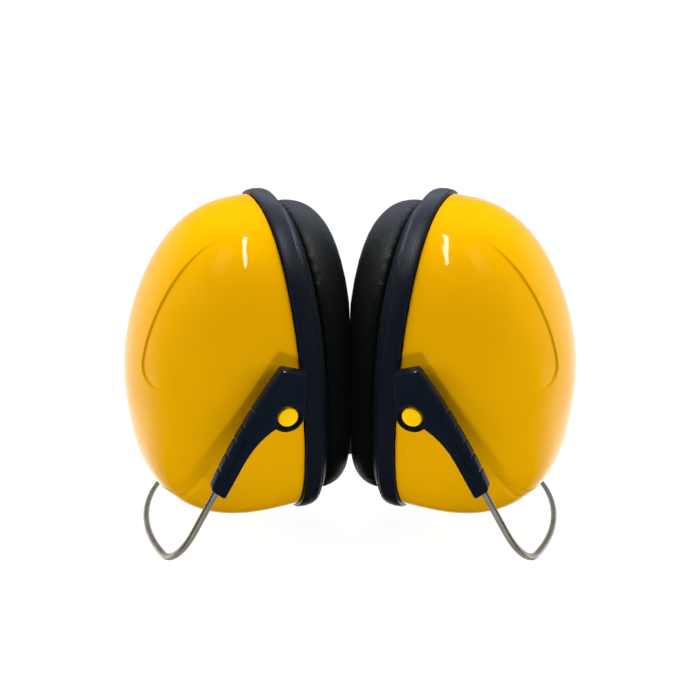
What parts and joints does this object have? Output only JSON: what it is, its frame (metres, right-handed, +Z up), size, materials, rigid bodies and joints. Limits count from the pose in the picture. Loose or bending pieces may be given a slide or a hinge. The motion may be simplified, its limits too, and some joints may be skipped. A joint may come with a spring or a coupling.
{
  "type": "earmuff hearing protector",
  "caption": "Neckband earmuff: domed yellow cups with soft black ear cushions, held by pivoting black arms on steel spring wires that join in a sleeved band behind the neck.",
  "frame": {"origin": "middle of the footprint on the table that the earmuff stands on, with its cups closed", "axes": "+Z up from the table, -Y to the wearer's front, +X to the wearer's left; left and right in the names of pieces are as seen from the wearer's front, so left is at -X"},
  "size_m": [0.1632, 0.1832, 0.1181],
  "materials": {
    "yellow_shell": "glossy moulded plastic, warm yellow",
    "black_ring": "satin black moulded plastic",
    "black_plate": "satin black moulded plastic",
    "black_cushion": "fine-grained black synthetic leather over foam",
    "grey_foam": "open-cell dark grey foam",
    "black_arm": "glossy black moulded plastic",
    "spring_steel": "drawn spring steel wire",
    "black_sleeve": "matt black soft plastic"
  },
  "bodies": {
    "neckband": {"neckband_sleeve": "black_sleeve", "neckband_low_wire": "spring_steel", "neckband_high_wire": "spring_steel"},
    "left_wires": {"left_front_wire": "spring_steel", "left_rear_wire": "spring_steel"},
    "left_arms": {"left_front_arm": "black_arm", "left_rear_arm": "black_arm"},
    "left_cup": {"left_cup_shell": "yellow_shell", "left_cup_ring": "black_ring", "left_cushion_plate": "black_plate", "left_ear_cushion": "black_cushion", "left_foam_insert": "grey_foam", "left_front_pivot_pin": "yellow_shell", "left_rear_pivot_pin": "yellow_shell"},
    "right_wires": {"right_front_wire": "spring_steel", "right_rear_wire": "spring_steel"},
    "right_arms": {"right_front_arm": "black_arm", "right_rear_arm": "black_arm"},
    "right_cup": {"right_cup_shell": "yellow_shell", "right_cup_ring": "black_ring", "right_cushion_plate": "black_plate", "right_ear_cushion": "black_cushion", "right_foam_insert": "grey_foam", "right_front_pivot_pin": "yellow_shell", "right_rear_pivot_pin": "yellow_shell"}
  },
  "joints": [
    {"name": "left_band_flex", "type": "hinge", "parent": "neckband", "child": "left_wires", "pos_m": [-0.06079, 0.06128, 0], "axis": [0, 0, -1], "range_deg": [0, 35], "stiffness_Nm_per_rad": 1.5, "springref_deg": -17.19},
    {"name": "left_height_slide", "type": "slide", "parent": "left_wires", "child": "left_arms", "axis": [-0.4772, 0.161, -0.8639], "range_m": [0, 0.008]},
    {"name": "left_cup_tilt", "type": "hinge", "parent": "left_arms", "child": "left_cup", "pos_m": [-0.03406, -0.04289, 0.06533], "axis": [-0.331, 0.8778, 0.3464], "range_deg": [-7, 7]},
    {"name": "right_band_flex", "type": "hinge", "parent": "neckband", "child": "right_wires", "pos_m": [0.06079, 0.06128, 0], "axis": [0, 0, 1], "range_deg": [0, 35], "stiffness_Nm_per_rad": 1.5, "springref_deg": -17.19},
    {"name": "right_height_slide", "type": "slide", "parent": "right_wires", "child": "right_arms", "axis": [0.4772, 0.161, -0.8639], "range_m": [0, 0.008]},
    {"name": "right_cup_tilt", "type": "hinge", "parent": "right_arms", "child": "right_cup", "pos_m": [0.03406, -0.04289, 0.06533], "axis": [0.331, 0.8778, 0.3464], "range_deg": [-7, 7]}
  ],
  "couplings": [
    {"joint": "right_band_flex", "follows": "left_band_flex", "ratio": 1}
  ]
}
